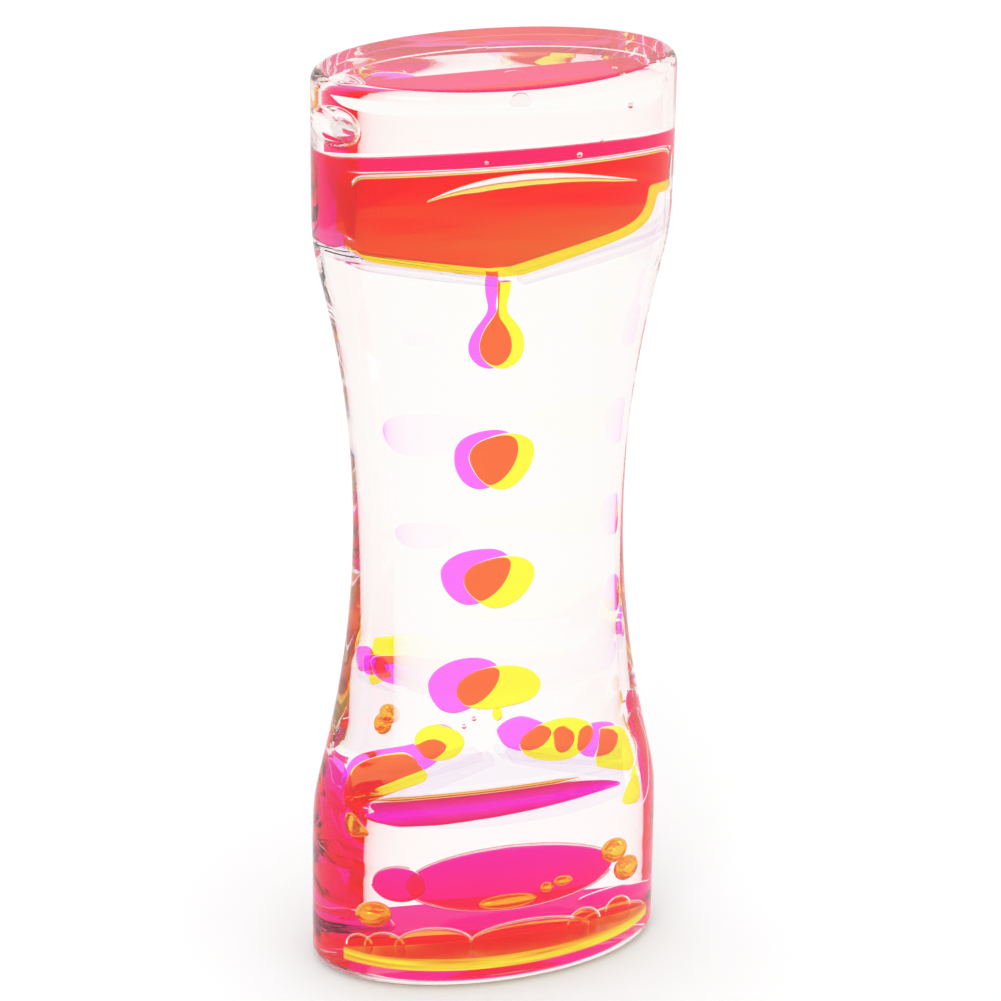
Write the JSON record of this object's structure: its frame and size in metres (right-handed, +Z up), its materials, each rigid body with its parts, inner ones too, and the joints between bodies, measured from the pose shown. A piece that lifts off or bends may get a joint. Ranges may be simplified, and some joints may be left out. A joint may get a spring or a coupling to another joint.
{
  "type": "liquid motion timer",
  "caption": "Clear waisted liquid timer with two flat chambers in which yellow and magenta drops fall from funnels onto ramps and pools.",
  "frame": {"origin": "centre of the flat base the timer stands on", "axes": "+Z up along the body, -Y towards the front chamber, X across the width"},
  "size_m": [0.058, 0.035, 0.15],
  "materials": {
    "clear_body": "clear polished acrylic",
    "clear_cap": "clear polished acrylic, welded on",
    "clear_plug": "clear soft plastic plug",
    "clear_plate": "clear flat acrylic",
    "clear_insert": "clear moulded plastic",
    "clear_liquid": "clear liquid",
    "yellow_liquid": "yellow dyed liquid",
    "amber_liquid": "yellow dyed liquid in a deep layer",
    "magenta_liquid": "magenta dyed liquid",
    "deep_magenta_liquid": "magenta dyed liquid in a deep layer"
  },
  "bodies": {
    "case": {"outer_shell": "clear_body", "top_cap": "clear_cap", "bottom_cap": "clear_cap", "front_fill_plug": "clear_plug", "rear_fill_plug": "clear_plug", "centre_divider": "clear_plate", "front_window": "clear_plate", "rear_window": "clear_plate", "front_funnel": "clear_insert", "rear_funnel": "clear_insert", "front_shelf": "clear_insert", "rear_shelf": "clear_insert", "front_ramp": "clear_insert", "rear_ramp": "clear_insert", "front_clear_liquid": "clear_liquid", "rear_clear_liquid": "clear_liquid", "front_cap_liquid": "clear_liquid", "rear_cap_liquid": "clear_liquid", "front_upper_pool": "yellow_liquid", "rear_upper_pool": "deep_magenta_liquid", "front_lower_pool": "amber_liquid", "rear_lower_pool": "deep_magenta_liquid", "front_resting_bead": "amber_liquid"},
    "front_hanging_drop": {"front_hanging_drop": "yellow_liquid"},
    "rear_hanging_drop": {"rear_hanging_drop": "magenta_liquid"},
    "front_drop_1": {"front_drop_1": "yellow_liquid"},
    "front_drop_2": {"front_drop_2": "yellow_liquid"},
    "front_drop_3": {"front_drop_3": "yellow_liquid"},
    "rear_drop_1": {"rear_drop_1": "magenta_liquid"},
    "rear_drop_2": {"rear_drop_2": "magenta_liquid"},
    "rear_drop_3": {"rear_drop_3": "magenta_liquid"},
    "front_stream": {"front_stream": "yellow_liquid"},
    "front_falling_beads": {"front_falling_beads": "amber_liquid"},
    "front_left_run": {"front_left_bead": "yellow_liquid", "front_left_blob": "yellow_liquid"},
    "front_right_run": {"front_right_blob": "yellow_liquid", "front_right_tail": "yellow_liquid"},
    "rear_left_run": {"rear_left_blob": "magenta_liquid"},
    "rear_right_run": {"rear_right_beads": "magenta_liquid"}
  },
  "joints": [
    {"name": "front_hanging_drop_fall", "type": "slide", "parent": "case", "child": "front_hanging_drop", "axis": [0, 0, -1], "range_m": [0, 0.0105]},
    {"name": "rear_hanging_drop_fall", "type": "slide", "parent": "case", "child": "rear_hanging_drop", "axis": [0, 0, -1], "range_m": [0, 0.0102]},
    {"name": "front_drop_1_fall", "type": "slide", "parent": "case", "child": "front_drop_1", "axis": [0, 0, -1], "range_m": [0, 0.0108]},
    {"name": "front_drop_2_fall", "type": "slide", "parent": "case", "child": "front_drop_2", "axis": [0, 0, -1], "range_m": [0, 0.0097]},
    {"name": "front_drop_3_fall", "type": "slide", "parent": "case", "child": "front_drop_3", "axis": [0, 0, -1], "range_m": [0, 0.004]},
    {"name": "rear_drop_1_fall", "type": "slide", "parent": "case", "child": "rear_drop_1", "axis": [0, 0, -1], "range_m": [0, 0.0097]},
    {"name": "rear_drop_2_fall", "type": "slide", "parent": "case", "child": "rear_drop_2", "axis": [0, 0, -1], "range_m": [0, 0.0087]},
    {"name": "rear_drop_3_fall", "type": "slide", "parent": "case", "child": "rear_drop_3", "axis": [0, 0, -1], "range_m": [0, 0.004]},
    {"name": "front_stream_fall", "type": "slide", "parent": "case", "child": "front_stream", "axis": [0, 0, -1], "range_m": [0, 0.004]},
    {"name": "front_falling_beads_fall", "type": "slide", "parent": "case", "child": "front_falling_beads", "axis": [0, 0, -1], "range_m": [0, 0.0018]},
    {"name": "front_left_run_slide", "type": "slide", "parent": "case", "child": "front_left_run", "axis": [-0.9367, 0, -0.3501], "range_m": [0, 0.0016]},
    {"name": "front_right_run_slide", "type": "slide", "parent": "case", "child": "front_right_run", "axis": [0.9367, 0, -0.3501], "range_m": [0, 0.0025]},
    {"name": "rear_left_run_slide", "type": "slide", "parent": "case", "child": "rear_left_run", "axis": [-0.9597, 0, -0.2811], "range_m": [0, 0.0025]},
    {"name": "rear_right_run_slide", "type": "slide", "parent": "case", "child": "rear_right_run", "axis": [0.9597, 0, -0.2811], "range_m": [0, 0.0025]}
  ]
}
